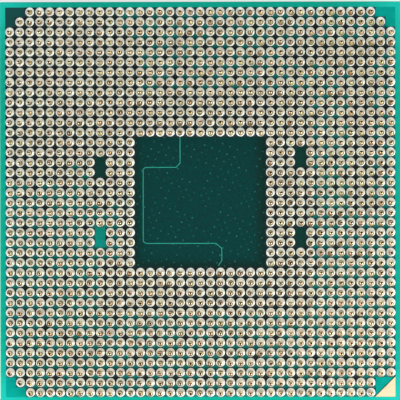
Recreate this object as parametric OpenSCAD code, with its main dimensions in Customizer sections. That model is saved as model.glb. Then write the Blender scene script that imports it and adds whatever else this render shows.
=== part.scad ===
// Pin grid array processor: a laminated substrate with a field of gold-plated pins on one face
// and, on the other, a silicon die under a nickel-plated copper lid.
// It lies on its lid with the pins up. The origin is the middle of the lid's outer face.

/* [Pin grid] */
// Distance between the middles of neighbouring pins
pin_pitch = 1; // [0.95:0.01:1.27]
// Distance from the middles of the outermost pins to the edge of the substrate
grid_margin = 1; // [0.7:0.05:2]
// Pins left out along each side of the middle window
window_n = 13; // [9:2:17]
// Pitches from the middle of the grid to the key gaps
key_column = 10; // [9:1:14]
// Diameter of a pin
pin_d = 0.3; // [0.24:0.01:0.36]
// Length of a pin above the substrate
pin_l = 2.03; // [1.2:0.01:3.5]
// Chamfer round the tip of a pin
tip_chamfer = 0.06; // [0.02:0.01:0.08]

/* [Solder feet] */
// Diameter of the solder foot round a pin
foot_d = 0.89; // [0.7:0.01:0.92]
// Height to which the solder climbs the pin
foot_h = 0.22; // [0.15:0.01:0.24]

/* [Substrate] */
// Thickness of the laminated substrate
substrate_t = 1.2; // [0.8:0.05:2]
// Legs of the triangles that mark the corner of pin 1
mark_leg = 2.02; // [1:0.02:2.2]
// Thickness of the plated triangles
mark_t = 0.03; // [0.02:0.005:0.06]

/* [Lid] */
// Distance from the edge of the substrate to the lid's flange
lid_inset = 1.25; // [0.8:0.05:3]
// Height of the lid from its foot to its outer face
lid_h = 3.1; // [2.6:0.05:5]
// Thickness of the flange round the lid
flange_t = 1.1; // [0.6:0.05:1.6]
// Width of the flange beyond the raised middle
flange_w = 1.6; // [0.8:0.1:3]
// Corner radius of the flange
lid_corner_r = 2; // [1.5:0.1:4]
// Corner radius of the raised middle
plateau_corner_r = 1.4; // [1:0.1:3]
// Chamfer round the raised middle and the flange
lid_chamfer = 0.25; // [0.1:0.05:0.5]
// Width of the lid's foot round its cavity
rim_w = 3.6; // [3.2:0.1:6]
// Corner radius of the lid's cavity
cavity_corner_r = 2.5; // [1:0.1:5]

/* [Sealant] */
// Thickness of the bead between the lid's foot and the substrate
sealant_t = 0.1; // [0.06:0.01:0.3]
// Width of the bead
sealant_w = 2; // [1:0.1:2.4]
// Distance from the edge of the flange to the bead
sealant_inset = 0.6; // [0.3:0.05:0.8]
// Length of the vent left open in the bead
vent_l = 4; // [2:0.5:8]

/* [Die] */
// Length of the silicon die
die_l = 22; // [12:0.1:24]
// Width of the silicon die
die_w = 9.7; // [6:0.1:16]
// Thickness of the silicon die
die_t = 0.78; // [0.5:0.01:0.9]
// Gap for the solder bumps between the die and the substrate
bump_t = 0.07; // [0.05:0.01:0.12]
// Thickness of the solder layer between the die and the lid
thermal_t = 0.3; // [0.1:0.01:0.5]
// Width of the underfill's slope beyond the die
underfill_w = 0.9; // [0.4:0.05:1.4]
// Height to which the underfill climbs the sides of the die
underfill_climb = 0.4; // [0.2:0.02:0.46]
// Thickness of the underfill where it ends on the die
underfill_lip = 0.06; // [0.03:0.01:0.12]

/* [Capacitors] */
// Length of a chip capacitor
chip_l = 1; // [0.6:0.05:1.6]
// Width of a chip capacitor
chip_w = 0.5; // [0.3:0.05:0.8]
// Height of a chip capacitor
chip_h = 0.5; // [0.3:0.05:0.8]
// Length of each metal end of a chip capacitor
chip_end = 0.25; // [0.1:0.05:0.28]
// Distance from the underfill to the capacitors
chip_gap = 0.8; // [0.4:0.1:1.2]
// Distance between neighbouring capacitors along the die
chip_spacing = 2.4; // [1.8:0.1:2.8]
// Capacitors along each long side of the die
long_side_chips = 8; // [2:1:8]
// Capacitors along each short side of the die
short_side_chips = 4; // [1:1:4]

/* [Hidden] */
$fn = 48;
// Overshoot of a cutter past the face that it opens
cut = 1;
// Straight steps in the cove of a solder foot
cove_steps = 3;

// Row letters of a pin grid skip those that are easily misread
row_letters = "abcdefghjklmnprtuvwy";
grid_n = 39;
row_names = [
    for (i = [0 : grid_n - 1])
        i < len(row_letters) ? row_letters[i] : str("a", row_letters[i - len(row_letters)])
];
pin_row_nodes = [for (name = row_names) str("pins_row_", name)];
solder_nodes = ["solder_feet_back", "solder_feet_front", "solder_feet_left", "solder_feet_right"];

// Plan sizes, from the grid outwards
half_n = (grid_n - 1) / 2;
package_w = 2 * (half_n * pin_pitch + grid_margin);
lid_w = package_w - 2 * lid_inset;
plateau_w = lid_w - 2 * flange_w;
cavity_w = lid_w - 2 * rim_w;
mark_corner = half_n * pin_pitch + foot_d / 2;

// Levels, from the lid's outer face up to the pins
rim_z = lid_h;
substrate_z = rim_z + sealant_t;
pin_z = substrate_z + substrate_t;
die_z = substrate_z - bump_t - die_t;
thermal_z = die_z - thermal_t;

// Gaps in the pin field, in pitches from its middle: rows of the middle window,
// and each key gap's side and middle row, where a gap takes the place of two pins
window_half = (window_n - 1) / 2;
key_gaps = [[-1, 3.5], [-1, -3.5], [1, 4.5], [1, -3.5]];

function in_window(c, r) = max(abs(c), abs(r)) <= window_half;
function in_key(c, r) =
    len([for (k = key_gaps) if (c == k[0] * key_column && abs(r - k[1]) < 1) k]) > 0;
function in_corner(c, r) = abs(c) + abs(r) >= 2 * half_n - 1;
function in_pin1_corner(c, r) = c >= half_n - 1 && r <= 1 - half_n;
function has_pin(c, r) =
    !in_window(c, r) && !in_key(c, r) && !in_corner(c, r) && !in_pin1_corner(c, r);

// One pin: a plain turned shaft with a chamfered tip
module pin() {
    radius = pin_d / 2;
    rotate_extrude()
        polygon([
            [0, 0],
            [radius, 0],
            [radius, pin_l - tip_chamfer],
            [radius - tip_chamfer, pin_l],
            [0, pin_l]
        ]);
}

// One solder foot: a cove of solder that climbs from the pad's edge up the pin
module solder_foot() {
    run = (foot_d - pin_d) / 2;
    cove = [
        for (i = [0 : cove_steps])
            [foot_d / 2 - run * i / cove_steps, foot_h * (i / cove_steps) ^ 2]
    ];
    rotate_extrude()
        polygon(concat([[pin_d / 2, 0]], cove));
}

// A square outline with rounded corners
module rounded_square(w, r) {
    square([w, w - 2 * r], center = true);
    square([w - 2 * r, w], center = true);
    for (x = [-1, 1], y = [-1, 1])
        translate([x, y] * (w / 2 - r))
            circle(r);
}

// A square slab with rounded corners and a chamfer round its lower face
module chamfered_slab(w, h, r, chamfer) {
    half = w / 2;
    for (turn = [0, 90])
        rotate([90, 0, turn])
            linear_extrude(w - 2 * r, center = true)
                polygon([
                    [chamfer - half, 0],
                    [half - chamfer, 0],
                    [half, chamfer],
                    [half, h],
                    [-half, h],
                    [-half, chamfer]
                ]);
    for (turn = [0 : 90 : 270])
        rotate(turn)
            translate([half - r, half - r])
                rotate_extrude(angle = 90)
                    polygon([[0, 0], [r - chamfer, 0], [r, chamfer], [r, h], [0, h]]);
}

module trapezoid(top, foot, h) {
    polygon([[-foot, 0] / 2, [foot, 0] / 2, [top / 2, h], [-top / 2, h]]);
}

// A block with sloping sides, from its narrow foot up to a wider top
module sloped_block(top, foot, h) {
    intersection() {
        rotate([90, 0, 0])
            linear_extrude(top[1], center = true)
                trapezoid(top[0], foot[0], h);
        rotate([90, 0, 90])
            linear_extrude(top[0], center = true)
                trapezoid(top[1], foot[1], h);
    }
}

// Places its children at each capacitor, with their length along the side of the die
module at_chips() {
    beside = underfill_w + chip_gap + chip_w / 2;
    for (side = [-1, 1]) {
        for (i = [0 : long_side_chips - 1])
            translate([(i - (long_side_chips - 1) / 2) * chip_spacing, side * (die_w / 2 + beside), 0])
                children();
        for (i = [0 : short_side_chips - 1])
            translate([side * (die_l / 2 + beside), (i - (short_side_chips - 1) / 2) * chip_spacing, 0])
                rotate(90)
                    children();
    }
}

// The plated triangle that marks the corner of pin 1
module corner_mark(z) {
    translate([mark_corner, -mark_corner, z])
        linear_extrude(mark_t)
            polygon([[0, 0], [0, mark_leg], [-mark_leg, 0]]);
}

module substrate() {
    color("teal")
        translate([-package_w / 2, -package_w / 2, substrate_z])
            cube([package_w, package_w, substrate_t]);
}

module pin_side_mark() {
    color("khaki")
        corner_mark(pin_z);
}

module lid_side_mark() {
    color("khaki")
        corner_mark(substrate_z - mark_t);
}

// Coined from one copper blank: a raised middle, a flange and a cavity for the die
module lid() {
    color("silver")
        difference() {
            union() {
                chamfered_slab(plateau_w, lid_h, plateau_corner_r, lid_chamfer);
                translate([0, 0, lid_h - flange_t])
                    chamfered_slab(lid_w, flange_t, lid_corner_r, lid_chamfer);
            }
            translate([0, 0, thermal_z])
                linear_extrude(rim_z - thermal_z + cut)
                    rounded_square(cavity_w, cavity_corner_r);
        }
}

module lid_sealant() {
    outer_w = lid_w - 2 * sealant_inset;
    outer_r = lid_corner_r - sealant_inset;
    color("dimgray")
        translate([0, 0, rim_z])
            linear_extrude(sealant_t)
                difference() {
                    rounded_square(outer_w, outer_r);
                    square(outer_w - 2 * sealant_w, center = true);
                    translate([-vent_l / 2, 0])
                        square([vent_l, outer_w]);
                }
}

module die() {
    color("slategray")
        translate([-die_l / 2, -die_w / 2, die_z])
            cube([die_l, die_w, die_t]);
}

module thermal_interface() {
    color("lightgray")
        translate([-die_l / 2, -die_w / 2, thermal_z])
            cube([die_l, die_w, thermal_t]);
}

module underfill() {
    depth = bump_t + underfill_climb;
    color("darkslategray")
        difference() {
            translate([0, 0, substrate_z - depth])
                sloped_block(
                    [die_l + 2 * underfill_w, die_w + 2 * underfill_w],
                    [die_l + 2 * underfill_lip, die_w + 2 * underfill_lip],
                    depth
                );
            translate([-die_l / 2, -die_w / 2, substrate_z - depth - cut])
                cube([die_l, die_w, underfill_climb + cut]);
        }
}

module capacitor_bodies() {
    body_l = chip_l - 2 * chip_end;
    color("tan")
        at_chips()
            translate([-body_l / 2, -chip_w / 2, substrate_z - chip_h])
                cube([body_l, chip_w, chip_h]);
}

module capacitor_ends() {
    color("lightgray")
        at_chips()
            for (x = [-chip_l / 2, chip_l / 2 - chip_end])
                translate([x, -chip_w / 2, substrate_z - chip_h])
                    cube([chip_end, chip_w, chip_h]);
}

// A row of pins across the grid, the first row on the side of the marked corner
module pin_row(i) {
    c = half_n - i;
    color("gold")
        for (r = [-half_n : half_n])
            if (has_pin(c, r))
                translate([c * pin_pitch, r * pin_pitch, pin_z])
                    pin();
}

// The solder feet of one block of pins, between the given columns and rows
module solder_feet(columns, rows) {
    color("lightgoldenrodyellow")
        for (c = columns, r = rows)
            if (has_pin(c, r))
                translate([c * pin_pitch, r * pin_pitch, pin_z])
                    solder_foot();
}

substrate();
pin_side_mark();
lid_side_mark();
lid();
lid_sealant();
die();
thermal_interface();
underfill();
capacitor_bodies();
capacitor_ends();
for (i = [0 : grid_n - 1])
    pin_row(i);
solder_feet([-half_n : half_n], [window_half + 1 : half_n]);  // solder_feet_back
solder_feet([-half_n : half_n], [-half_n : -window_half - 1]);  // solder_feet_front
solder_feet([-half_n : -window_half - 1], [-window_half : window_half]);  // solder_feet_left
solder_feet([window_half + 1 : half_n], [-window_half : window_half]);  // solder_feet_right
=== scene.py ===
import math

import bpy
import numpy as np
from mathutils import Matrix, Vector


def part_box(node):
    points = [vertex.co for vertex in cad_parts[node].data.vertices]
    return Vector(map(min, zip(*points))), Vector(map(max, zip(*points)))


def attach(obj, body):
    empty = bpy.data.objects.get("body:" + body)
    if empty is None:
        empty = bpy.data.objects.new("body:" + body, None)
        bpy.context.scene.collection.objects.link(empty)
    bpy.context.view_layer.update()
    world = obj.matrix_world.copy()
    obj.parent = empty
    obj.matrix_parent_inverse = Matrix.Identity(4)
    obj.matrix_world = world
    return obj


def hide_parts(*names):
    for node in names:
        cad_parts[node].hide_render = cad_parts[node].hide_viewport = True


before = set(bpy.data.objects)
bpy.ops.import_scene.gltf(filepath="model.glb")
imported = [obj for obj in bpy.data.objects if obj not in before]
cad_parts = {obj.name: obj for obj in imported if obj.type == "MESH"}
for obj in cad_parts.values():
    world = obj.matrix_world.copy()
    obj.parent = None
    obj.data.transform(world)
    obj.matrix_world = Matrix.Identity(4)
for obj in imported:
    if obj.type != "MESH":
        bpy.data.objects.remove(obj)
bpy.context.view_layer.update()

# Substrate: a square organic laminate, with a glass cloth core and copper layers pressed on it.
# Both faces carry teal solder mask over the etched copper. The edge is sawn and shows the layers.
mm = 0.001
sawn_edge_round = 0.04 * mm
board_low, board_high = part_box("substrate")
board_size = board_high - board_low
pad_z = board_high.z

bpy.ops.object.select_all(action="DESELECT")
bpy.ops.mesh.primitive_cube_add(size=1, location=(board_low + board_high) / 2, scale=board_size)
board = bpy.context.object
board.name = "substrate_board"
bpy.ops.object.transform_apply(location=True, rotation=True, scale=True)
bpy.ops.object.mode_set(mode="EDIT")
bpy.ops.mesh.select_all(action="SELECT")
bpy.ops.mesh.bevel(offset=sawn_edge_round, segments=2, affect="EDGES")
bpy.ops.object.mode_set(mode="OBJECT")

# The pin grid, in pitches from the middle of the board.
pitch = 1.0 * mm
board_half = 20
half_n = 19
window_half = 6
key_column = 10
key_gaps = [(-1, 3.5), (-1, -3.5), (1, 4.5), (1, -3.5)]


def has_pin(c, r):
    """True where the grid has a pin, c pitches right and r pitches back of the middle."""
    in_window = max(abs(c), abs(r)) <= window_half
    in_key_gap = any(c == side * key_column and abs(r - row) < 1 for side, row in key_gaps)
    past_corner = abs(c) + abs(r) >= 2 * half_n - 1
    at_mark = c >= half_n - 1 and r <= 1 - half_n
    return not (in_window or in_key_gap or past_corner or at_mark)


def node(tree, kind, inputs=None, **settings):
    """Adds one shader node, with its settings and with values or links on its inputs."""
    new = tree.nodes.new(kind)
    for name, value in settings.items():
        setattr(new, name, value)
    for place, value in (inputs or {}).items():
        if isinstance(value, bpy.types.NodeSocket):
            tree.links.new(value, new.inputs[place])
        else:
            new.inputs[place].default_value = value
    return new


def calc(tree, operation, *values):
    """One sum on numbers or links."""
    return node(tree, "ShaderNodeMath", dict(enumerate(values)), operation=operation).outputs[0]


def vector(tree, operation, *values):
    """One sum on vectors, as the node's outputs."""
    return node(tree, "ShaderNodeVectorMath", dict(enumerate(values)), operation=operation).outputs


def paint(colour):
    """A link as it is, or a colour socket's four numbers from (r, g, b) or from one grey level."""
    if isinstance(colour, bpy.types.NodeSocket):
        return colour
    return (*colour, 1) if isinstance(colour, tuple) else (colour, colour, colour, 1)


def mixed(tree, share, first, second, blend="MIX"):
    """The first colour where share is 0, and the second, or the two blended, where it is 1."""
    return node(tree, "ShaderNodeMix", {0: share, 6: paint(first), 7: paint(second)},
                data_type="RGBA", blend_type=blend).outputs[2]


def filtered(tree, colour, tint):
    """A colour seen through a tint."""
    return mixed(tree, 1.0, colour, tint, "MULTIPLY")


def ramp(tree, value, *stops):
    """A colour ramp through (place, colour) stops."""
    new = node(tree, "ShaderNodeValToRGB", {0: value})
    while len(new.color_ramp.elements) < len(stops):
        new.color_ramp.elements.new(0.5)
    for stop, (place, colour) in zip(new.color_ramp.elements, stops):
        stop.position = place
        stop.color = paint(colour)
    return new.outputs[0]


def scaled(tree, place, times):
    """A place so many times as far from the origin."""
    return node(tree, "ShaderNodeVectorMath", {0: place, "Scale": times},
                operation="SCALE").outputs[0]


def in_mm(tree):
    """The point on the part, in millimetres from the frame's origin."""
    return scaled(tree, node(tree, "ShaderNodeTexCoord").outputs["Object"], 1 / mm)


def noise(tree, point, scale, detail=2.0, roughness=0.5):
    """Cloudy noise of so many spots to a millimetre."""
    return node(tree, "ShaderNodeTexNoise", {"Vector": point, "Scale": scale, "Detail": detail,
                                             "Roughness": roughness}).outputs["Fac"]


def lot(tree, place):
    """The chances drawn for one place, as a Value and a Color."""
    return node(tree, "ShaderNodeTexWhiteNoise", {"Vector": place}, noise_dimensions="3D").outputs


def other_lot(tree, place):
    """A second draw for the same place."""
    return lot(tree, vector(tree, "ADD", place, (0.5, 0.5, 0.5))[0])


def bumped(tree, height, strength, distance):
    """A surface normal from a height."""
    return node(tree, "ShaderNodeBump", {"Height": height, "Strength": strength,
                                         "Distance": distance}).outputs[0]


def finish(name):
    """A new node material, as (material, tree, shader)."""
    made = bpy.data.materials.new(name)
    made.use_nodes = True
    return made, made.node_tree, made.node_tree.nodes["Principled BSDF"]


def wire(tree, output, shader, socket):
    """Links an output to one of a shader's sockets."""
    tree.links.new(output, shader.inputs[socket])


pin_side_mask, tree, shader = finish("pin side mask")
point = in_mm(tree)
u, v, _ = node(tree, "ShaderNodeSeparateXYZ", {0: point}).outputs


def from_zero(value, middle):
    """How far a value lies from a middle, on either side."""
    return calc(tree, "ABSOLUTE", calc(tree, "SUBTRACT", value, middle))


def both(first, second):
    """The share that two areas have in common."""
    return calc(tree, "MULTIPLY", first, second)


def any_of(shares):
    """The share that at least one of some areas has."""
    total = shares[0]
    for share in shares[1:]:
        total = calc(tree, "MAXIMUM", total, share)
    return total


def outside(share):
    """The share that an area leaves."""
    return calc(tree, "SUBTRACT", 1.0, share)


def patch(left, right, front, back):
    """1 inside a rectangle on the pin side, given in pitches, and 0 outside."""
    across = calc(tree, "LESS_THAN", from_zero(u, (left + right) / 2), (right - left) / 2)
    along = calc(tree, "LESS_THAN", from_zero(v, (front + back) / 2), (back - front) / 2)
    return both(across, along)


def square(half):
    """1 inside a square round the middle of the board."""
    return patch(-half, half, -half, half)


def distance_of(x, y):
    """The length of a way x to the right and y to the back."""
    return calc(tree, "SQRT", calc(tree, "ADD", both(x, x), both(y, y)))


# Where the copper planes stop and the dark laminate shows through the mask.
field_half = 19.45
window_reach = window_half + 0.5
pads_reach = half_n + 0.5
mark_near = half_n - 1.5
corner_cut = 2 * half_n - 1.5
bare_laminate = any_of([
    patch(-field_half, -8, 16, field_half),
    patch(-field_half, -6, 4, 16),
    patch(-field_half, -13, 2, 4),
    patch(-11, -8, 0, 4.5),
    patch(-19, 11, 6, 11),
    patch(-8, -6, -6, 4),
    patch(6, 11, -11, 11),
    patch(-10, 11, -11, -6),
    patch(9, 18, 14, 16),
    patch(15, 17, -1, 14),
])
window = square(window_reach)
keys = [patch(side * key_column - 0.5, side * key_column + 0.5, row - 1, row + 1)
        for side, row in key_gaps]
pad_u, pad_v = calc(tree, "ROUND", u), calc(tree, "ROUND", v)
off_grid = calc(tree, "ADD", calc(tree, "ABSOLUTE", pad_u), calc(tree, "ABSOLUTE", pad_v))
corner = calc(tree, "GREATER_THAN", off_grid, corner_cut)
mark_area = patch(mark_near, board_half, -board_half, -mark_near)
by_pad = outside(any_of([window, corner, mark_area, outside(square(pads_reach))] + keys))

# Between the pads, every third gap along a diagonal is a clearance with no copper under it.
# At the front only every second ring of gaps round the board has them.
back_starts = 1.0
gap_u, gap_v = calc(tree, "FLOOR", u), calc(tree, "FLOOR", v)
third = calc(tree, "FLOORED_MODULO", calc(tree, "SUBTRACT", gap_u, gap_v), 3.0)
from_left = calc(tree, "ADD", gap_u, half_n)
from_right = calc(tree, "SUBTRACT", half_n - 1, gap_u)
from_front = calc(tree, "ADD", gap_v, half_n)
from_edge = calc(tree, "MINIMUM", calc(tree, "MINIMUM", from_left, from_right), from_front)
odd_ring = calc(tree, "COMPARE", calc(tree, "FLOORED_MODULO", from_edge, 2.0), 1.0, 0.5)
at_back = calc(tree, "GREATER_THAN", v, back_starts)
from_middle = calc(tree, "ADD", from_zero(gap_u, -0.5), from_zero(gap_v, -0.5))
in_field = both(square(half_n), calc(tree, "LESS_THAN", from_middle, corner_cut))
in_turn = both(calc(tree, "COMPARE", third, 0.0, 0.5), any_of([odd_ring, at_back]))
clearance = both(in_turn, in_field)

# Dark moats, where the mask stands back from each pad and from the corner mark.
moat_r = 0.495
mark_leg, mark_corner, mark_moat = 2.02, 19.445, 0.09
slope_moat = 1.4 * mark_moat
pad_r = distance_of(calc(tree, "SUBTRACT", u, pad_u), calc(tree, "SUBTRACT", v, pad_v))
pad_moat = both(calc(tree, "LESS_THAN", pad_r, moat_r), by_pad)
mark_slope = calc(tree, "GREATER_THAN", calc(tree, "SUBTRACT", u, v),
                  2 * mark_corner - mark_leg - slope_moat)
mark_reach = mark_corner + mark_moat
moat = any_of([pad_moat, both(mark_slope, patch(0, mark_reach, -mark_reach, 0))])

# Mask over copper is a clear teal, clouded and lightly streaked.
cloud = noise(tree, point, 0.22, 3.0)
slanted = node(tree, "ShaderNodeMapping", {"Vector": point, "Rotation": (0, 0, 0.6),
                                           "Scale": (0.5, 1.6, 1)}).outputs[0]
streak = noise(tree, slanted, 1.0, 3.0)
copper = mixed(tree, ramp(tree, cloud, (0.35, 0), (0.65, 1)),
               (0.001, 0.40, 0.355), (0.002, 0.37, 0.29))
copper = mixed(tree, ramp(tree, streak, (0.40, 0), (0.68, 0.5)), copper, (0.002, 0.52, 0.46))

# Mask over laminate is nearly black and speckled by the cloth. Along the window's rim it is painted
# darker: painted shade from the pins round the window.
rim_right_w, rim_left_w, rim_front_w = 1.3, 0.6, 0.9
rim_right = calc(tree, "DIVIDE", calc(tree, "SUBTRACT", window_reach, u), rim_right_w)
rim_left = calc(tree, "DIVIDE", calc(tree, "ADD", u, window_reach), rim_left_w)
rim_front = calc(tree, "DIVIDE", calc(tree, "ADD", v, window_reach), rim_front_w)
rim_near = calc(tree, "MINIMUM", calc(tree, "MINIMUM", rim_right, rim_left), rim_front)
window_rim_shade = both(window, ramp(tree, rim_near, (0.2, 0.5), (1.0, 0)))
speckle = noise(tree, point, 4.5, 3.0, 0.7)
laminate = mixed(tree, ramp(tree, speckle, (0.35, 0), (0.65, 1)),
                 (0.006, 0.040, 0.037), (0.002, 0.060, 0.058))
laminate = mixed(tree, window_rim_shade, laminate, (0.012, 0.026, 0.018))

# The narrow gaps between the pads are painted duller and darker over copper: painted shade from the
# pins and feet round them. Those over laminate are given a red cast.
gap_shade_share = 0.36
dark_gap = any_of([bare_laminate, window, both(clearance, by_pad)])
murk = noise(tree, point, 0.9, 2.0)
shaded_gap_colour = mixed(tree, ramp(tree, murk, (0.4, 0), (0.6, 1)),
                     (0.130, 0.098, 0.115), (0.100, 0.108, 0.104))
shaded_gap_colour = mixed(tree, dark_gap, (0.052, 0.100, 0.098), shaded_gap_colour)
colour = mixed(tree, dark_gap, copper, laminate)
colour = mixed(tree, both(by_pad, gap_shade_share), colour, shaded_gap_colour)

# Each gap between the pads is painted darker at its front, just behind the pad in front of it: a
# painted shadow of that pad's foot and pin in light from the front. How deep it is differs a little
# from gap to gap.
gap_cell = node(tree, "ShaderNodeCombineXYZ", {0: gap_u, 1: gap_v}).outputs[0]
shadow_behind_pads = ramp(tree, calc(tree, "FRACT", v), (0.32, 0.32), (0.5, 0.69), (0.63, 1.0))
gap_luck = ramp(tree, lot(tree, gap_cell)["Value"], (0.0, 0.78), (1.0, 1.0))
shadow_behind_pads = filtered(tree, shadow_behind_pads, gap_luck)
colour = mixed(tree, by_pad, colour, filtered(tree, colour, shadow_behind_pads))
colour = mixed(tree, moat, colour, (0.008, 0.014, 0.014))

# The border round the pads is the clearest teal. It is painted brighter than the field and brighter
# still towards the corners of the board, and the bare laminate in the cut corners is painted
# lighter: painted light where fewer pins shade the mask.
corner_light_share, key_shade_share = 0.37, 0.2
to_corner = calc(tree, "ADD", calc(tree, "ABSOLUTE", u), calc(tree, "ABSOLUTE", v))
to_corner = calc(tree, "DIVIDE", to_corner, 2 * board_half)
border_with_painted_light = ramp(tree, to_corner, (0.82, (0.005, 0.480, 0.362)), (0.98, (0.014, 0.620, 0.510)))
colour = mixed(tree, outside(square(field_half)), colour, border_with_painted_light)
bare_corner = both(both(corner, bare_laminate), corner_light_share)
colour = mixed(tree, bare_corner, colour, (0.026, 0.158, 0.153))
# The key gaps are painted a little darker: painted shade from the pins round them.
colour = mixed(tree, both(any_of(keys), key_shade_share), colour, (0.025, 0.09, 0.06))

# Filled vias show in the window as pale dots, on a lattice that is turned on the board.
via_r = 0.072
small_via_r = 0.6 * via_r
small_via_share = 0.7
via_step = 0.80
via_turn = math.radians(22.4)
via_start = (-1.691, 0.528, 0.0)
via_colour = (0.036, 0.190, 0.160)
lattice = vector(tree, "SUBTRACT", point, via_start)[0]
lattice = node(tree, "ShaderNodeVectorRotate", {"Vector": lattice, "Angle": via_turn},
               rotation_type="Z_AXIS").outputs[0]
lattice = scaled(tree, lattice, 1 / via_step)


def via_dots(lattice, dot_r, bare_share, batch):
    """How strongly a via shows, on a lattice of which a share of the places is bare."""
    x, y, _ = node(tree, "ShaderNodeSeparateXYZ", {0: lattice}).outputs
    cell_x, cell_y = calc(tree, "ROUND", x), calc(tree, "ROUND", y)
    off = distance_of(calc(tree, "SUBTRACT", x, cell_x), calc(tree, "SUBTRACT", y, cell_y))
    cell = node(tree, "ShaderNodeCombineXYZ", {0: cell_x, 1: cell_y, 2: batch}).outputs[0]
    filled = calc(tree, "GREATER_THAN", lot(tree, cell)["Value"], bare_share)
    shine = ramp(tree, other_lot(tree, cell)["Value"], (0.0, 0.25), (0.75, 0.8), (1.0, 1.0))
    on_dot = calc(tree, "LESS_THAN", off, dot_r / via_step)
    return both(both(on_dot, both(window, filled)), shine)


vias = via_dots(lattice, via_r, bare_share=0.3, batch=0.0)
between_vias = vector(tree, "ADD", lattice, (0.5, 0.5, 0.0))[0]
small_vias = via_dots(between_vias, small_via_r, bare_share=0.5, batch=5.0)
colour = mixed(tree, vias, colour, via_colour)
colour = mixed(tree, both(small_vias, small_via_share), colour, via_colour)

# The mask is painted a little darker towards the back: painted shade, as the light falls off away
# from the front.
toward_back = calc(tree, "DIVIDE", calc(tree, "ADD", v, board_half), 2 * board_half)
colour = filtered(tree, colour, ramp(tree, toward_back, (0.0, 1), (1.0, (0.90, 0.89, 0.88))))
grain = noise(tree, point, 14.0, 3.0)
wire(tree, colour, shader, "Base Color")
wire(tree, ramp(tree, grain, (0.3, 0.12), (0.7, 0.22)), shader, "Roughness")
wire(tree, bumped(tree, grain, 0.1, 0.005 * mm), shader, "Normal")
shader.inputs["Specular IOR Level"].default_value = 0.2

lid_side_mask, tree, shader = finish("lid side mask")
point = in_mm(tree)
cloud = noise(tree, point, 0.3, 3.0)
grain = noise(tree, point, 14.0, 3.0)
wire(tree, mixed(tree, cloud, (0.003, 0.20, 0.15), (0.004, 0.28, 0.20)), shader, "Base Color")
wire(tree, ramp(tree, grain, (0.3, 0.36), (0.7, 0.5)), shader, "Roughness")
wire(tree, bumped(tree, grain, 0.25, 0.01 * mm), shader, "Normal")

sawn_laminate, tree, shader = finish("sawn laminate")
point = in_mm(tree)
height = node(tree, "ShaderNodeSeparateXYZ", {0: point}).outputs[2]
layer = calc(tree, "DIVIDE", calc(tree, "SUBTRACT", height, board_low.z / mm), board_size.z / mm)
drawn_out = node(tree, "ShaderNodeMapping", {"Vector": point, "Scale": (3, 3, 30)}).outputs[0]
fibre = noise(tree, drawn_out, 1.0, 4.0)
layers = ramp(tree, layer, (0.0, (0.01, 0.20, 0.15)), (0.06, (0.02, 0.10, 0.07)),
              (0.30, (0.03, 0.09, 0.05)), (0.34, (0.20, 0.21, 0.10)), (0.66, (0.22, 0.22, 0.11)),
              (0.70, (0.03, 0.09, 0.05)), (0.94, (0.02, 0.10, 0.07)), (1.0, (0.01, 0.26, 0.19)))
cut_ends = calc(tree, "MULTIPLY", fibre, 0.5)
wire(tree, mixed(tree, cut_ends, layers, (0.10, 0.16, 0.09)), shader, "Base Color")
wire(tree, bumped(tree, fibre, 0.5, 0.02 * mm), shader, "Normal")
shader.inputs["Roughness"].default_value = 0.7

for made in (pin_side_mask, lid_side_mask, sawn_laminate):
    board.data.materials.append(made)
level_enough = 0.5
for face in board.data.polygons:
    if face.normal.z > level_enough:
        face.material_index = 0
    elif face.normal.z < -level_enough:
        face.material_index = 1
    else:
        face.material_index = 2
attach(board, "root")
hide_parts("substrate")

# Sense line in the window: one narrow copper conductor, drawn round the bare middle.
# It is etched with the copper layer and lies under the mask, which stands a little proud over it.
line_w = 0.09 * mm
line_proud = 0.012 * mm
line_route = [(-2.02, 6.53), (-2.02, 3.91), (-2.42, 3.48), (-5.49, 3.48), (-5.71, 3.28),
              (-5.71, -3.90), (-5.44, -4.11), (1.55, -4.11), (2.13, -4.60), (2.13, -5.81),
              (1.77, -6.34)]

# It is drawn one unit across, and then brought to its own width and height.
bpy.ops.object.select_all(action="DESELECT")
route = bpy.data.curves.new("window_line", "CURVE")
route.dimensions = "3D"
route.bevel_depth = 0.5
route.bevel_resolution = 1
route.use_fill_caps = True
spline = route.splines.new("POLY")
spline.points.add(len(line_route) - 1)
for place, (x, y) in zip(spline.points, line_route):
    place.co = (x * mm / line_w, y * mm / line_w, 0, 1)
line = bpy.data.objects.new("window_line", route)
bpy.context.collection.objects.link(line)
line.select_set(True)
bpy.context.view_layer.objects.active = line
bpy.ops.object.convert(target="MESH")
line = bpy.context.object
line.scale = (line_w, line_w, 2 * line_proud)
line.location = (0, 0, pad_z)
bpy.ops.object.transform_apply(location=True, rotation=True, scale=True)
bpy.ops.object.shade_smooth_by_angle(angle=math.radians(50))

line_mask, tree, shader = finish("mask over the line")
point = in_mm(tree)
cloud = noise(tree, point, 2.0, 3.0)
wire(tree, mixed(tree, cloud, (0.020, 0.31, 0.23), (0.030, 0.37, 0.28)), shader, "Base Color")
wire(tree, ramp(tree, cloud, (0.3, 0.15), (0.7, 0.25)), shader, "Roughness")
shader.inputs["Specular IOR Level"].default_value = 0.15
line.data.materials.append(line_mask)
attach(line, "root")

# Solder feet: tin alloy, drawn up round each pin when the pins are soldered to their pads.
# Each has a round rim, a nearly flat shoulder and a stepped cove against the pin.
# The cove is tan, partly from gold taken up from the pin and partly as a painted reflection of the
# gold pin. A brown ring round it is partly flux and partly painted shade of the steep cove. No two
# are alike.
foot_sides = 12
foot_rings = [(0.463, 0.0), (0.457, 0.012), (0.424, 0.024), (0.255, 0.047), (0.215, 0.071),
              (0.165, 0.084), (0.150, 0.180)]


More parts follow.
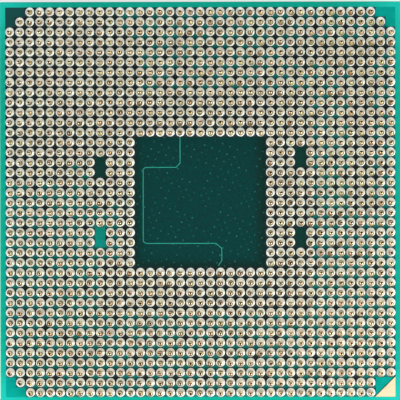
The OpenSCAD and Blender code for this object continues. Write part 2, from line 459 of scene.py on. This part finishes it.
def turned(sides, rings):
    """A round piece: a disc drawn up through rings, each with its radius and height."""
    ring_r, ring_z = rings[0]
    bpy.ops.object.select_all(action="DESELECT")
    bpy.ops.mesh.primitive_circle_add(vertices=sides, radius=ring_r, fill_type="NGON",
                                      location=(0, 0, ring_z))
    bpy.ops.object.mode_set(mode="EDIT")
    bpy.ops.mesh.select_all(action="SELECT")
    for next_r, next_z in rings[1:]:
        rise, narrower = next_z - ring_z, next_r / ring_r
        bpy.ops.mesh.extrude_region_move(TRANSFORM_OT_translate={"value": (0, 0, rise)})
        bpy.ops.transform.resize(value=(narrower, narrower, 1), center_override=(0, 0, 0))
        ring_r, ring_z = next_r, next_z
    bpy.ops.mesh.select_all(action="SELECT")
    bpy.ops.mesh.normals_make_consistent(inside=False)
    bpy.ops.object.mode_set(mode="OBJECT")
    return bpy.context.object


foot = turned(foot_sides, [(r * mm, z * mm) for r, z in foot_rings])
bpy.ops.object.shade_smooth_by_angle(angle=math.radians(60))

chance_of = np.random.default_rng(1331)
cove_r = 0.36 * mm
cove_w = 0.16 * mm
shaft_clear_r = 0.2 * mm
least_pull, most_pull = 0.1, 0.7
fill_spread = 0.25
rim_share, rim_waist_most = 0.99, 0.015


def planted(pattern, name, columns, rows, vary):
    """Copies a pattern piece on to the pin places of some columns and rows, each a bit varied."""
    bpy.ops.object.select_all(action="DESELECT")
    pattern.select_set(True)
    bpy.context.view_layer.objects.active = pattern
    bpy.ops.object.duplicate()
    block = bpy.context.object
    block.name = name
    for axis, places in ((0, columns), (1, rows)):
        step = block.modifiers.new("step", "ARRAY")
        step.count = len(places)
        step.use_relative_offset = False
        step.use_constant_offset = True
        step.constant_offset_displace = [pitch if i == axis else 0.0 for i in range(3)]
        bpy.ops.object.modifier_apply(modifier=step.name)
    shape = (len(rows), len(columns), len(pattern.data.vertices), 3)
    points = np.empty(len(block.data.vertices) * 3)
    block.data.vertices.foreach_get("co", points)
    points = points.reshape(shape)
    kept = np.zeros(shape[:3], bool)
    for j, r in enumerate(rows):
        for i, c in enumerate(columns):
            middle = np.array((i * pitch, j * pitch, 0.0))
            points[j, i] = vary(points[j, i] - middle) + np.array((c * pitch, r * pitch, pad_z))
            kept[j, i] = has_pin(c, r)
    block.data.vertices.foreach_set("co", points.ravel())
    block.data.update()
    bpy.ops.object.mode_set(mode="EDIT")
    bpy.ops.mesh.select_all(action="DESELECT")
    bpy.ops.object.mode_set(mode="OBJECT")
    block.data.vertices.foreach_set("select", ~kept.ravel())
    bpy.ops.object.mode_set(mode="EDIT")
    bpy.ops.mesh.delete(type="VERT")
    bpy.ops.object.mode_set(mode="OBJECT")
    return block


def drawn_up(points):
    """One foot as it set: its cove drawn higher on one side, its rim a little out of round."""
    turn = np.arctan2(points[:, 1], points[:, 0])
    out = np.hypot(points[:, 0], points[:, 1])
    side, waist = chance_of.uniform(0, 2 * np.pi, 2)
    in_cove = ((cove_r - out) / cove_w).clip(0, 1)
    pull = chance_of.uniform(least_pull, most_pull)
    lift = pull * np.cos(turn - side) + chance_of.normal(0, fill_spread)
    round_off = rim_share + chance_of.uniform(0, rim_waist_most) * np.cos(2 * (turn - waist))
    points[:, 2] *= 1 + in_cove * lift
    points[:, :2] *= np.where(out > shaft_clear_r, round_off, 1.0)[:, None]
    return points


def nearest_pin(tree, point):
    """The grid place that a point belongs to, in millimetres, whatever the point's height."""
    far_up = 100.0
    moved = vector(tree, "ADD", point, (0.5, 0.5, 0.0))[0]
    return vector(tree, "SNAP", moved, (1.0, 1.0, far_up))[0]


def on_board(tree, place):
    """How far a pin stands towards the marked corner and towards the front, each from -1 to 1."""
    u, v, _ = node(tree, "ShaderNodeSeparateXYZ", {0: place}).outputs
    to_mark = calc(tree, "DIVIDE", calc(tree, "SUBTRACT", u, v), 2 * half_n)
    return to_mark, calc(tree, "DIVIDE", v, -half_n)


pin_solder, tree, shader = finish("pin solder")
point = in_mm(tree)
nearest = nearest_pin(tree, point)
each = lot(tree, nearest)["Value"]
wetting = other_lot(tree, nearest)
level_point = vector(tree, "MULTIPLY", point, (1.0, 1.0, 0.0))[0]
level_pin = vector(tree, "MULTIPLY", nearest, (1.0, 1.0, 0.0))[0]
from_pin = vector(tree, "DISTANCE", level_point, level_pin)["Value"]

# The stain lies a little to the front of the pin's middle, where the pin's shadow falls, so it is
# partly a painted shadow of the pin. No two are of one size. The stains also shift a little round
# the board, turned and spread about its middle. They are smallest at the corner across from the
# mark.
stain_shadow_lag = (0.56, 1.33, 0.5)
stain_stray = (0.11, 0.11, 0.0)
size_spread = 0.16
board_turn = (0.0, 0.0, 0.0018)
board_spread = (1.0010, 1.0005, 1.0)
wet_way = vector(tree, "SUBTRACT", wetting["Color"], stain_shadow_lag)[0]
wet_way = vector(tree, "MULTIPLY", wet_way, stain_stray)[0]
turn_way = vector(tree, "CROSS_PRODUCT", level_pin, board_turn)[0]
board_place = vector(tree, "MULTIPLY", level_pin, board_spread)[0]
wet_middle = vector(tree, "ADD", vector(tree, "ADD", board_place, turn_way)[0], wet_way)[0]
from_wet = vector(tree, "DISTANCE", level_point, wet_middle)["Value"]
to_mark, to_front = on_board(tree, nearest)
from_mark = calc(tree, "MULTIPLY", to_mark, -1.0)
least_size = ramp(tree, from_mark, (0.45, 0.98), (0.85, 0.84))
stain_size = calc(tree, "MULTIPLY_ADD", each, size_spread, least_size)
from_wet = calc(tree, "DIVIDE", from_wet, stain_size)

# Inside its dark ring, which is partly flux and partly painted shade, a stain is tan, or pale gold
# where less of the pin's plating dissolved. The tan is partly a painted reflection of the gold pin.
tan_in_shaded_ring = ramp(tree, from_wet, (0.15, (0.43, 0.28, 0.12)), (0.185, (0.48, 0.31, 0.13)),
             (0.20, (0.03, 0.012, 0.003)), (0.24, (0.04, 0.016, 0.004)), (0.252, 1))
gilded_in_shaded_ring = ramp(tree, from_wet, (0.15, (0.67, 0.54, 0.28)), (0.185, (0.77, 0.65, 0.40)),
              (0.195, (0.03, 0.014, 0.004)), (0.235, (0.03, 0.014, 0.004)), (0.245, 1))
hue_cycles = 7.0
stain_and_shade = mixed(tree, ramp(tree, wetting["Value"], (0.32, 0), (0.56, 1)), tan_in_shaded_ring, gilded_in_shaded_ring)
hue = calc(tree, "FRACT", calc(tree, "MULTIPLY", wetting["Value"], hue_cycles))
stain_hue = ramp(tree, hue, (0.0, (1.0, 0.88, 0.80)), (0.5, (0.96, 0.95, 0.90)),
                 (1.0, (0.88, 0.98, 0.80)))
in_stain = ramp(tree, from_wet, (0.24, 1), (0.26, 0))
stain_and_shade = mixed(tree, in_stain, stain_and_shade, filtered(tree, stain_and_shade, stain_hue))

# The board was soldered from the back, so the flux baked a little redder at the front.
# Towards the marked corner the solder took up less gold, so the stain is paler there.
red_cast = ramp(tree, to_front, (0.2, 1), (0.7, (1.0, 0.94, 0.86)))
stain_and_shade = mixed(tree, in_stain, stain_and_shade, filtered(tree, stain_and_shade, red_cast))
paleness = calc(tree, "MULTIPLY", ramp(tree, to_mark, (0.40, 0), (0.80, 0.8)),
                ramp(tree, from_wet, (0.18, 1), (0.20, 0.15), (0.25, 0.15), (0.26, 0)))
stain_and_shade = mixed(tree, paleness, stain_and_shade, (1.0, 0.85, 0.64))

# Away from the stain the solder is nearly white, a little warmer or cooler from foot to foot.
tint = ramp(tree, each, (0.0, (0.93, 0.89, 0.89)), (0.35, (0.97, 1.0, 0.99)),
            (0.65, (0.97, 0.94, 0.91)), (1.0, (0.97, 1.0, 0.97)))
# The shoulder is painted whiter and cooler towards the rim: a painted highlight on the rim and a
# painted reflection of the teal mask.
shoulder_and_rim_sheen = ramp(tree, from_pin, (0.25, (0.88, 0.87, 0.77)), (0.33, (0.82, 0.89, 0.83)),
                (0.40, (0.96, 1.0, 1.0)))
solder = filtered(tree, filtered(tree, shoulder_and_rim_sheen, tint), stain_and_shade)
mottle = ramp(tree, noise(tree, point, 5.0, 3.0), (0.45, 0), (0.75, 0.15))
wire(tree, mixed(tree, mottle, solder, (0.50, 0.48, 0.41)), shader, "Base Color")
wire(tree, ramp(tree, from_pin, (0.21, 0.36), (0.28, 0.48)), shader, "Roughness")
wire(tree, bumped(tree, noise(tree, point, 9.0, 2.0), 0.35, 0.02 * mm), shader, "Normal")
shader.inputs["Metallic"].default_value = 1.0
foot.data.materials.append(pin_solder)

everywhere = range(-half_n, half_n + 1)
behind = range(window_half + 1, half_n + 1)
in_front = range(-half_n, -window_half)
beside = range(-window_half, window_half + 1)
for block_name, columns, rows in (("back", everywhere, behind), ("front", everywhere, in_front),
                                  ("left", in_front, beside), ("right", behind, beside)):
    feet = planted(foot, "feet_" + block_name, columns, rows, drawn_up)
    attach(feet, "root")
    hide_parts("solder_feet_" + block_name)
bpy.data.objects.remove(foot)

# Pins: 1331 turned copper alloy pins, nickel and gold plated, with a chamfered tip.
# Each is soldered upright on its pad, so it stands straight to within a degree.
pin_r = 0.15 * mm
pin_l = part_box("pins_row_a")[1].z - pad_z
pin_sides = 12
edge_r, edge_rise = 0.148 * mm, 0.028 * mm
flat_r, flat_rise = 0.112 * mm, 0.0155 * mm
chamfer_slope = flat_rise / (edge_r - flat_r)
lean_most = math.radians(0.9)
tilt_usual, tilt_most = 0.021, 0.06
least_flat, most_flat = 0.86, 1.13
least_short, most_short = 0.006, 0.012

edge_z = pin_l - flat_rise
shaft_z = edge_z - edge_rise
pin = turned(pin_sides, [(pin_r, 0.0), (pin_r, shaft_z), (edge_r, edge_z), (flat_r, pin_l)])
bpy.ops.object.shade_smooth()
for edge in pin.data.edges:
    low, high = [pin.data.vertices[i].co.z for i in edge.vertices]
    edge.use_edge_sharp = low == high


def upright(points):
    """One pin as it was soldered: a fraction of a degree off the upright, its flat its own size."""
    lean = chance_of.normal(0, lean_most / 2, 2).clip(-lean_most, lean_most)
    points[:, 0] += points[:, 2] * lean[0]
    points[:, 1] += points[:, 2] * lean[1]
    tilt = chance_of.normal(0, tilt_usual, 2).clip(-tilt_most, tilt_most)
    at_tip = points[:, 2] > (edge_z + pin_l) / 2
    middle = points[at_tip, :2].mean(0)
    flat = chance_of.uniform(least_flat, most_flat)
    points[at_tip, :2] = middle + (points[at_tip, :2] - middle) * flat
    points[at_tip, 2] += (1 - flat) * flat_r * chamfer_slope
    points[at_tip, 2] += points[at_tip, 0] * tilt[0] + points[at_tip, 1] * tilt[1]
    points[:, 2] *= 1 - chance_of.uniform(least_short, most_short)
    return points


pin_gold, tree, shader = finish("pin gold")
point = in_mm(tree)
nearest = nearest_pin(tree, point)
each = lot(tree, nearest)["Value"]
tint = ramp(tree, each, (0.0, (0.79, 0.59, 0.38)), (0.25, (0.80, 0.70, 0.44)),
            (0.5, (0.73, 0.68, 0.41)), (0.75, (0.78, 0.61, 0.43)), (1.0, (0.83, 0.77, 0.60)))
to_mark, to_front = on_board(tree, nearest)
tint = mixed(tree, ramp(tree, to_mark, (0.40, 0), (0.75, 0.85)), tint, (1.0, 0.82, 0.56))
tint = filtered(tree, tint, ramp(tree, to_front, (0.2, 1), (0.7, (1.0, 0.93, 0.84))))
smear = noise(tree, point, 6.0, 3.0)
smeared = mixed(tree, ramp(tree, smear, (0.45, 0), (0.75, 0.6)), tint, (0.55, 0.40, 0.24))
wire(tree, smeared, shader, "Base Color")
wire(tree, ramp(tree, smear, (0.3, 0.05), (0.7, 0.11)), shader, "Roughness")
wire(tree, bumped(tree, noise(tree, point, 12.0, 2.0), 0.12, 0.01 * mm), shader, "Normal")
shader.inputs["Metallic"].default_value = 1.0
pin.data.materials.append(pin_gold)

row_letters = "abcdefghjklmnprtuvwy"
for i in range(2 * half_n + 1):
    letters = row_letters[i] if i < len(row_letters) else "a" + row_letters[i - len(row_letters)]
    pins = planted(pin, "pins_" + letters, [half_n - i], everywhere, upright)
    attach(pins, "root")
    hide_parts("pins_row_" + letters)
bpy.data.objects.remove(pin)

# Corner marks: a gold plated triangle on each face, at the corner of the first pin.
# They are etched in the copper layer, left clear of mask, and plated with the pads.


def dress(node_name, made):
    """Gives a CAD node its finish."""
    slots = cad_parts[node_name].data.materials
    slots.clear()
    slots.append(made)


mark_gold, tree, shader = finish("mark gold")
point = in_mm(tree)
cloud = noise(tree, point, 1.6, 3.0)
wire(tree, mixed(tree, cloud, (0.82, 0.70, 0.44), (0.92, 0.83, 0.58)), shader, "Base Color")
wire(tree, ramp(tree, cloud, (0.3, 0.50), (0.7, 0.62)), shader, "Roughness")
wire(tree, bumped(tree, noise(tree, point, 18.0, 2.0), 0.3, 0.01 * mm), shader, "Normal")
shader.inputs["Metallic"].default_value = 1.0
dress("pin_side_mark", mark_gold)
dress("lid_side_mark", mark_gold)

# Die: one flip chip of silicon, thinned and sawn from its wafer, face down on solder bumps.
# It is hidden under the lid. Its back is ground to a fine grey gloss.
silicon, tree, shader = finish("ground silicon")
point = in_mm(tree)
along_wheel = node(tree, "ShaderNodeMapping", {"Vector": point, "Scale": (40, 2, 2)}).outputs[0]
ground = noise(tree, along_wheel, 1.0, 3.0)
wire(tree, mixed(tree, ground, (0.10, 0.105, 0.12), (0.15, 0.155, 0.17)), shader, "Base Color")
wire(tree, ramp(tree, ground, (0.3, 0.14), (0.7, 0.24)), shader, "Roughness")
shader.inputs["Metallic"].default_value = 0.6
dress("die", silicon)

# Underfill: dark epoxy with a mineral filler, which holds the die to the substrate.
# It is drawn in under the die between its bumps, climbs its sides, and is then cured.
epoxy, tree, shader = finish("filled epoxy")
point = in_mm(tree)
filler = noise(tree, point, 25.0, 2.0)
wire(tree, mixed(tree, filler, (0.016, 0.013, 0.011), (0.040, 0.032, 0.026)), shader, "Base Color")
wire(tree, ramp(tree, filler, (0.3, 0.25), (0.7, 0.40)), shader, "Roughness")
dress("underfill", epoxy)

# Chip capacitors round the die: small blocks of fired ceramic with a metal end on each side.
# The ends are tinned, and soldered to the substrate before the lid goes on.
ceramic, tree, shader = finish("fired ceramic")
point = in_mm(tree)
speck = noise(tree, point, 30.0, 3.0)
wire(tree, mixed(tree, speck, (0.23, 0.15, 0.09), (0.33, 0.23, 0.15)), shader, "Base Color")
wire(tree, bumped(tree, speck, 0.3, 0.01 * mm), shader, "Normal")
shader.inputs["Roughness"].default_value = 0.6
dress("capacitor_bodies", ceramic)

tinned, tree, shader = finish("tinned ends")
point = in_mm(tree)
dull = noise(tree, point, 18.0, 3.0)
wire(tree, mixed(tree, dull, (0.62, 0.62, 0.60), (0.74, 0.74, 0.72)), shader, "Base Color")
wire(tree, ramp(tree, dull, (0.3, 0.28), (0.7, 0.45)), shader, "Roughness")
shader.inputs["Metallic"].default_value = 1.0
dress("capacitor_ends", tinned)

# Thermal interface: a thin sheet of soft solder between the back of the die and the lid.
# It is melted in place when the lid is pressed on, and carries the heat across.
soft_solder, tree, shader = finish("soft solder")
point = in_mm(tree)
grains = noise(tree, point, 3.0, 4.0)
wire(tree, mixed(tree, grains, (0.56, 0.56, 0.57), (0.68, 0.68, 0.69)), shader, "Base Color")
wire(tree, ramp(tree, grains, (0.3, 0.32), (0.7, 0.5)), shader, "Roughness")
shader.inputs["Metallic"].default_value = 1.0
dress("thermal_interface", soft_solder)

# Lid sealant: a bead of dark silicone rubber under the lid's foot, with a vent left open.
# It is laid on the substrate, pressed flat by the lid, and cured.
rubber, tree, shader = finish("silicone rubber")
point = in_mm(tree)
matt = noise(tree, point, 8.0, 3.0)
wire(tree, mixed(tree, matt, (0.030, 0.031, 0.034), (0.060, 0.061, 0.066)), shader, "Base Color")
wire(tree, bumped(tree, matt, 0.4, 0.03 * mm), shader, "Normal")
shader.inputs["Roughness"].default_value = 0.55
dress("lid_sealant", rubber)

# Lid: a copper heat spreader, coined with a flange round a raised middle, then nickel plated.
# Coining and plating leave every edge a little round, and the plating has a fine satin grain.
lid_edge_round = 0.06 * mm
lid_edge_angle = math.radians(30)
joined_within = 0.0005 * mm
flat_within = math.radians(1)
bpy.ops.object.select_all(action="DESELECT")
lid = bpy.data.objects.new("lid_shell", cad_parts["lid"].data.copy())
bpy.context.collection.objects.link(lid)
lid.select_set(True)
bpy.context.view_layer.objects.active = lid
bpy.ops.object.mode_set(mode="EDIT")
bpy.ops.mesh.select_all(action="SELECT")
bpy.ops.mesh.remove_doubles(threshold=joined_within)
bpy.ops.mesh.dissolve_limited(angle_limit=flat_within)
bpy.ops.object.mode_set(mode="OBJECT")
rounding = lid.modifiers.new("rounding", "BEVEL")
rounding.width = lid_edge_round
rounding.segments = 2
rounding.limit_method = "ANGLE"
rounding.angle_limit = lid_edge_angle
bpy.ops.object.modifier_apply(modifier=rounding.name)
bpy.ops.object.shade_smooth_by_angle(angle=lid_edge_angle)

nickel, tree, shader = finish("satin nickel")
point = in_mm(tree)
grained = node(tree, "ShaderNodeMapping", {"Vector": point, "Scale": (0.8, 24, 24)}).outputs[0]
satin = noise(tree, grained, 1.0, 3.0)
cloud = noise(tree, point, 0.25, 4.0)
wire(tree, mixed(tree, cloud, (0.42, 0.415, 0.40), (0.54, 0.53, 0.51)), shader, "Base Color")
wire(tree, ramp(tree, satin, (0.3, 0.26), (0.7, 0.40)), shader, "Roughness")
wire(tree, bumped(tree, satin, 0.12, 0.01 * mm), shader, "Normal")
shader.inputs["Metallic"].default_value = 1.0
lid.data.materials.clear()
lid.data.materials.append(nickel)
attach(lid, "root")
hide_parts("lid")

# Studio floor: a plain pale board under the lid, which keeps the part's shadow.
# It shows nearly white to the camera and in the metal, and lights the part no more for that.
floor_reach = 1.5
floor_gap = 0.02 * mm
floor_glow = 0.65
bpy.ops.object.select_all(action="DESELECT")
bpy.ops.mesh.primitive_plane_add(size=2 * floor_reach, location=(0, 0, -floor_gap))
floor = bpy.context.object
floor.name = "floor"
floor_paint, tree, shader = finish("floor paint")
shader.inputs["Base Color"].default_value = paint(0.86)
shader.inputs["Roughness"].default_value = 0.9
ray = node(tree, "ShaderNodeLightPath").outputs
mirrored = calc(tree, "MAXIMUM", ray["Is Glossy Ray"], ray["Is Transmission Ray"])
seen = calc(tree, "MAXIMUM", ray["Is Camera Ray"], mirrored)
white = node(tree, "ShaderNodeEmission", {"Color": paint(1), "Strength": 1.0}).outputs[0]
shown = node(tree, "ShaderNodeMixShader", {0: calc(tree, "MULTIPLY", seen, floor_glow),
                                           1: shader.outputs[0], 2: white}).outputs[0]
tree.links.new(shown, tree.nodes["Material Output"].inputs["Surface"])
floor.data.materials.append(floor_paint)

# Studio light: a soft dome, dark where the camera looks down through it, and four soft boxes.
# The two low ones in front make the glints on the pin tips, and the others even out the light.
lens_way = Vector((-0.055, -0.012, 1.0)).normalized()
dome_level = 1.15
world = bpy.data.worlds.new("soft dome")
bpy.context.scene.world = world
world.use_nodes = True
tree = world.node_tree
sky = node(tree, "ShaderNodeTexCoord").outputs["Generated"]
up = vector(tree, "DOT_PRODUCT", sky, lens_way)["Value"]
off_lens = calc(tree, "DIVIDE", calc(tree, "ARCCOSINE", up), math.pi / 2)
dome = ramp(tree, off_lens, (0.15, (0.045, 0.021, 0.003)), (0.18, 0.54), (0.34, 0.54), (0.45, 0.42),
            (0.70, 0.42), (0.82, 0.25), (1.0, 0.15))
tree.links.new(dome, tree.nodes["Background"].inputs["Color"])
tree.nodes["Background"].inputs["Strength"].default_value = dome_level

for lamp_name, place, size, energy in (("left_box", (-0.074, -0.060, 0.092), 0.055, 0.042),
                                       ("right_box", (0.074, -0.060, 0.092), 0.055, 0.050),
                                       ("back_box", (0.0, 0.23, 0.197), 0.30, 0.250),
                                       ("top_box", (0.098, -0.028, 0.20), 0.05, 0.060)):
    lamp_data = bpy.data.lights.new(lamp_name, "AREA")
    lamp_data.size = size
    lamp_data.energy = energy
    lamp = bpy.data.objects.new(lamp_name, lamp_data)
    bpy.context.collection.objects.link(lamp)
    lamp.location = place
    to_part = Vector((0, 0, pad_z)) - lamp.location
    lamp.rotation_euler = to_part.to_track_quat("-Z", "Y").to_euler()
    lamp.visible_camera = False

# Camera: nearly straight above the pin side, far off, so that the pins splay only a little.
# The view is as wide as the board at the height of the pads.
view_across = 39.91 * mm
view_far = 370 * mm
view_tilt = (math.radians(0.55), math.radians(0.95))
view_roll = math.radians(-0.097)
aim = Vector((-0.028 * mm, 0.216 * mm, pad_z))
camera_data = bpy.data.cameras.new("camera")
camera_data.angle = 2 * math.atan(view_across / 2 / view_far)
camera_data.clip_start = 0.01
camera = bpy.data.objects.new("camera", camera_data)
bpy.context.collection.objects.link(camera)
aside = Vector((math.sin(view_tilt[0]), math.sin(view_tilt[1]), 1.0))
camera.location = aim + view_far * aside
camera.rotation_euler = (-view_tilt[1], view_tilt[0], view_roll)
bpy.context.scene.camera = camera
bpy.context.scene.view_settings.view_transform = "Standard"
